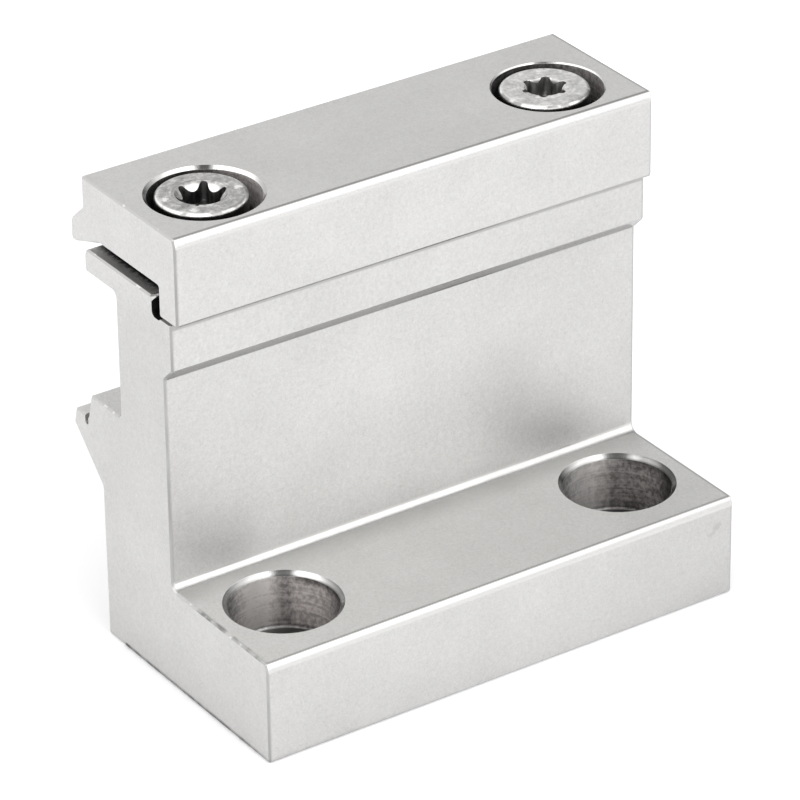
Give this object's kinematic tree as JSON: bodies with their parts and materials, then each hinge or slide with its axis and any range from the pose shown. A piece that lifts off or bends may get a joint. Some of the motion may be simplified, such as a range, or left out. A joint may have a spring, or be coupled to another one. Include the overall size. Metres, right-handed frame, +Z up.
{
  "type": "linear actuator end mount",
  "caption": "Aluminium clamping bracket for a linear actuator: counterbored foot, upright wall with a jaw, and a screwed-down clamp bar whose nose grips the actuator's profile.",
  "frame": {"origin": "midway between the two foot holes, on the underside of the foot", "axes": "+X along the length of the bracket, +Y from the foot towards the jaw, +Z up along the foot screws and the clamp screws"},
  "size_m": [0.0556, 0.0345, 0.0504],
  "materials": {
    "bracket_aluminium": "satin, clear anodised",
    "bar_aluminium": "satin, clear anodised",
    "screw_steel": "bright zinc plated"
  },
  "bodies": {
    "bracket": {"bracket_body": "bracket_aluminium"},
    "clamp": {"clamp_bar": "bar_aluminium"},
    "screw_left": {"clamp_screw_left": "screw_steel"},
    "screw_right": {"clamp_screw_right": "screw_steel"}
  },
  "joints": [
    {"name": "clamp_lift", "type": "slide", "parent": "bracket", "child": "clamp", "axis": [0, 0, 1], "range_m": [0, 0.004]},
    {"name": "screw_left_turn", "type": "hinge", "parent": "clamp", "child": "screw_left", "pos_m": [-0.0202, 0.01242, 0.0467], "axis": [0, 0, 1], "range_deg": [0, 1800]},
    {"name": "screw_right_turn", "type": "hinge", "parent": "clamp", "child": "screw_right", "pos_m": [0.0198, 0.01242, 0.0467], "axis": [0, 0, 1], "range_deg": [0, 1800]}
  ],
  "couplings": [
    {"joint": "screw_left_turn", "follows": "clamp_lift", "rad_per_m": 7854},
    {"joint": "screw_right_turn", "follows": "clamp_lift", "rad_per_m": 7854}
  ]
}
